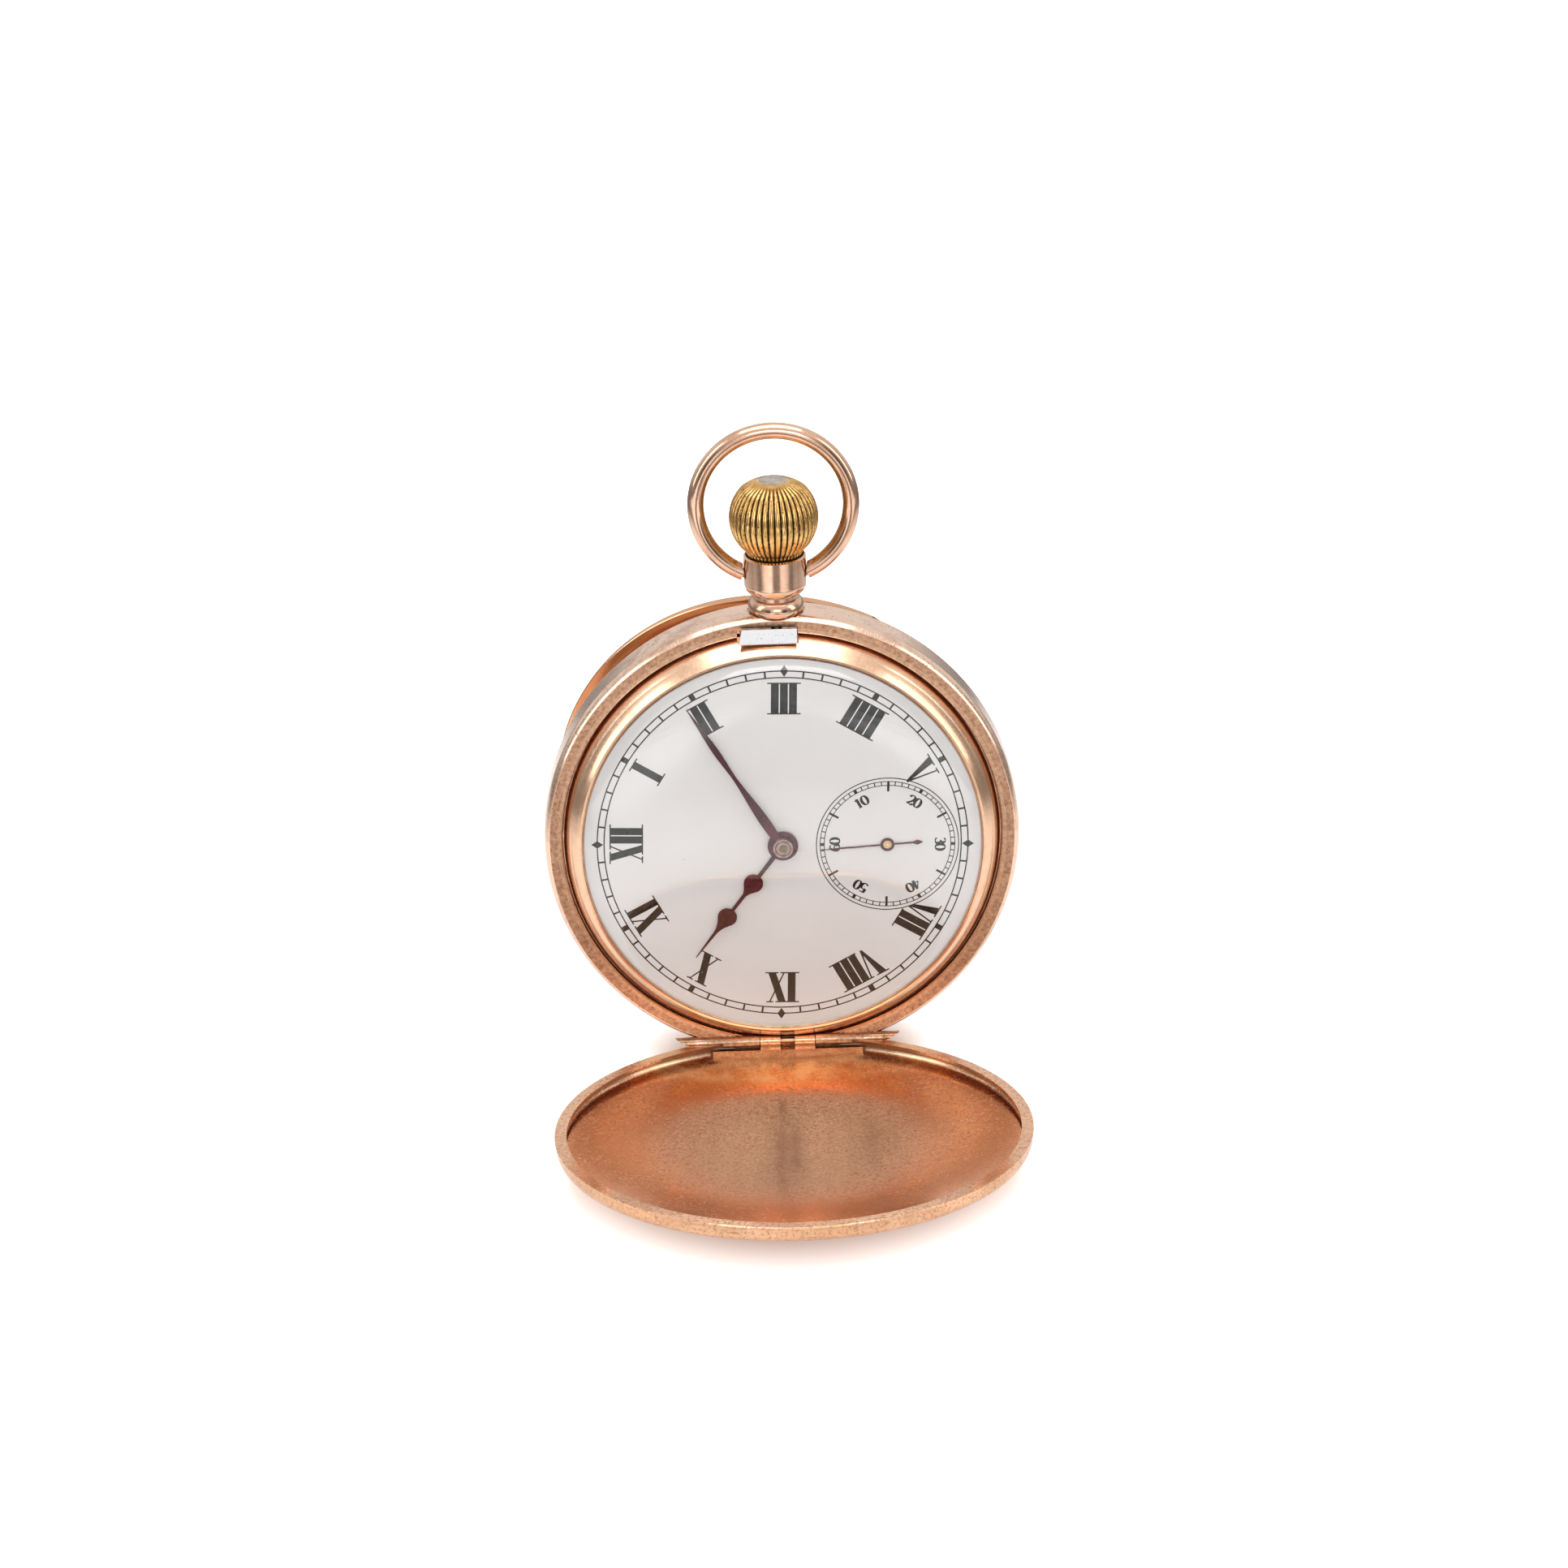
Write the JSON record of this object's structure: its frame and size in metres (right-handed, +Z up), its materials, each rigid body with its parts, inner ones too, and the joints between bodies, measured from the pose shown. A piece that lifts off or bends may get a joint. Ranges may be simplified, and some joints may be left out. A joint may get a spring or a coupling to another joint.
{
  "type": "pocket watch",
  "caption": "Round full hunter pocket watch with a hinged front lid, hinged back cover, crown, swinging bow, enamel dial and a geared movement.",
  "frame": {"origin": "middle of the bounding box's footprint, on the surface the watch stands on", "axes": "+Z up, +X along the front hinge to the right of the dial, -Y the way the dial faces; the watch stands on its open front lid"},
  "size_m": [0.05, 0.067, 0.0699],
  "materials": {
    "rose_gold": "polished rose gold with fine wear and dark tarnish in the corners",
    "gilt_crown": "worn gilt brass",
    "enamel": "glossy white enamel with black printing",
    "crystal_glass": "clear domed glass",
    "hand_steel": "heat coloured steel, plum brown",
    "gilt_plate": "fine frosted gilding",
    "wheel_brass": "satin brass",
    "ruby": "polished red stone",
    "bright_steel": "polished steel with fine specks",
    "blue_steel": "blued steel"
  },
  "bodies": {
    "case": {"case_band": "rose_gold", "pendant": "rose_gold", "bezel": "rose_gold", "crystal": "crystal_glass", "dial": "enamel", "main_plate": "gilt_plate", "barrel_bridge": "gilt_plate", "train_bridge": "gilt_plate", "balance_cock": "gilt_plate", "pallet_bridge": "gilt_plate", "jewels": "ruby", "bridge_screws": "blue_steel", "wheel_screws": "blue_steel", "dust_cover": "rose_gold", "front_hinge_pin": "rose_gold", "back_hinge_pin": "rose_gold", "lift_spring": "bright_steel"},
    "front_lid": {"front_lid": "rose_gold"},
    "back_cover": {"back_cover": "rose_gold"},
    "bow": {"bow": "rose_gold"},
    "push": {"pendant_sleeve": "bright_steel"},
    "crown": {"crown": "gilt_crown", "winding_stem": "bright_steel"},
    "catch": {"lock_spring": "bright_steel"},
    "winding": {"winding_pinion": "bright_steel"},
    "crown_wheel": {"crown_wheel": "bright_steel"},
    "ratchet": {"ratchet_wheel": "bright_steel", "barrel_arbor": "bright_steel", "ratchet_screw": "blue_steel"},
    "barrel": {"mainspring_barrel": "wheel_brass", "mainspring": "bright_steel"},
    "click": {"click": "bright_steel"},
    "minute": {"centre_wheel": "wheel_brass", "cannon_pinion": "bright_steel", "minute_hand": "hand_steel"},
    "hour": {"hour_wheel": "wheel_brass", "hour_hand": "hand_steel"},
    "minute_wheel": {"minute_wheel": "wheel_brass"},
    "third": {"third_wheel": "wheel_brass"},
    "fourth": {"fourth_wheel": "wheel_brass", "seconds_hand": "hand_steel"},
    "escape": {"escape_wheel": "bright_steel"},
    "pallets": {"pallet_fork": "bright_steel", "pallet_stones": "ruby"},
    "balance": {"balance_wheel": "wheel_brass", "hairspring": "blue_steel"},
    "regulator": {"regulator": "bright_steel"}
  },
  "joints": [
    {"name": "lid_hinge", "type": "hinge", "parent": "case", "child": "front_lid", "pos_m": [0, 0.01387, 0.00239], "axis": [1, 0, 0], "range_deg": [-88.2, 0], "stiffness_Nm_per_rad": 0.008, "springref_deg": 57.3},
    {"name": "back_hinge", "type": "hinge", "parent": "case", "child": "back_cover", "pos_m": [0.01653, 0.02447, 0.03995], "axis": [0.682, -0.1008, -0.7244], "range_deg": [-12.6, 78]},
    {"name": "bow_hinge", "type": "hinge", "parent": "case", "child": "bow", "pos_m": [0, 0.02367, 0.05378], "axis": [1, 0, 0], "range_deg": [-90, 90]},
    {"name": "crown_push", "type": "slide", "parent": "case", "child": "push", "axis": [0, -0.1379, -0.9904], "range_m": [0, 0.0005], "stiffness_N_per_m": 1500},
    {"name": "crown_turn", "type": "hinge", "parent": "push", "child": "crown", "pos_m": [0, 0.02436, 0.05874], "axis": [0, 0.1379, 0.9904], "continuous": true},
    {"name": "catch_slide", "type": "slide", "parent": "case", "child": "catch", "axis": [0, -0.1379, -0.9904], "range_m": [0, 0.00033]},
    {"name": "winding_turn", "type": "hinge", "parent": "case", "child": "winding", "pos_m": [0, 0.02187, 0.04091], "axis": [0, 0.1379, 0.9904], "continuous": true},
    {"name": "crown_wheel_turn", "type": "hinge", "parent": "case", "child": "crown_wheel", "pos_m": [0, 0.0245, 0.03873], "axis": [0, -0.9904, 0.1379], "continuous": true},
    {"name": "ratchet_turn", "type": "hinge", "parent": "case", "child": "ratchet", "pos_m": [-0.00636, 0.02342, 0.03096], "axis": [0, -0.9904, 0.1379], "continuous": true},
    {"name": "click_pivot", "type": "hinge", "parent": "case", "child": "click", "pos_m": [-0.0132, 0.02276, 0.02622], "axis": [0, 0.9904, -0.1379], "range_deg": [0, 10], "stiffness_Nm_per_rad": 0.0002},
    {"name": "seconds_turn", "type": "hinge", "parent": "case", "child": "fourth", "pos_m": [0.01098, 0.01972, 0.02471], "axis": [0, 0.9904, -0.1379], "continuous": true},
    {"name": "third_turn", "type": "hinge", "parent": "case", "child": "third", "pos_m": [0.0063, 0.01917, 0.02075], "axis": [0, 0.9904, -0.1379], "continuous": true},
    {"name": "minute_turn", "type": "hinge", "parent": "case", "child": "minute", "pos_m": [0, 0.01977, 0.02505], "axis": [0, 0.9904, -0.1379], "continuous": true},
    {"name": "minute_wheel_turn", "type": "hinge", "parent": "case", "child": "minute_wheel", "pos_m": [-0.00293, 0.01714, 0.02434], "axis": [0, 0.9904, -0.1379], "continuous": true},
    {"name": "hour_turn", "type": "hinge", "parent": "case", "child": "hour", "pos_m": [0, 0.0168, 0.02546], "axis": [0, 0.9904, -0.1379], "continuous": true},
    {"name": "barrel_turn", "type": "hinge", "parent": "case", "child": "barrel", "pos_m": [-0.00636, 0.02064, 0.03135], "axis": [0, 0.9904, -0.1379], "continuous": true},
    {"name": "escape_turn", "type": "hinge", "parent": "case", "child": "escape", "pos_m": [0.01362, 0.02035, 0.02924], "axis": [0, 0.9904, -0.1379], "continuous": true},
    {"name": "pallet_swing", "type": "hinge", "parent": "case", "child": "pallets", "pos_m": [0.01123, 0.02082, 0.0326], "axis": [0, -0.9904, 0.1379], "range_deg": [-5, 5]},
    {"name": "balance_swing", "type": "hinge", "parent": "case", "child": "balance", "pos_m": [0.0085, 0.02135, 0.03644], "axis": [0, -0.9904, 0.1379], "range_deg": [-270, 270], "stiffness_Nm_per_rad": 0.000004},
    {"name": "regulator_swing", "type": "hinge", "parent": "case", "child": "regulator", "pos_m": [0.0085, 0.02393, 0.03608], "axis": [0, -0.9904, 0.1379], "range_deg": [-15, 15]}
  ],
  "couplings": [
    {"joint": "catch_slide", "follows": "crown_push", "ratio": 0.66},
    {"joint": "winding_turn", "follows": "crown_turn", "ratio": 1},
    {"joint": "crown_wheel_turn", "follows": "crown_turn", "ratio": 0.41026},
    {"joint": "ratchet_turn", "follows": "crown_turn", "ratio": -0.25806},
    {"joint": "third_turn", "follows": "seconds_turn", "ratio": -0.13333},
    {"joint": "minute_turn", "follows": "seconds_turn", "ratio": 0.016667},
    {"joint": "minute_wheel_turn", "follows": "seconds_turn", "ratio": -0.0055556},
    {"joint": "hour_turn", "follows": "seconds_turn", "ratio": 0.0013889},
    {"joint": "barrel_turn", "follows": "seconds_turn", "ratio": -0.0020833},
    {"joint": "escape_turn", "follows": "seconds_turn", "ratio": -10}
  ]
}
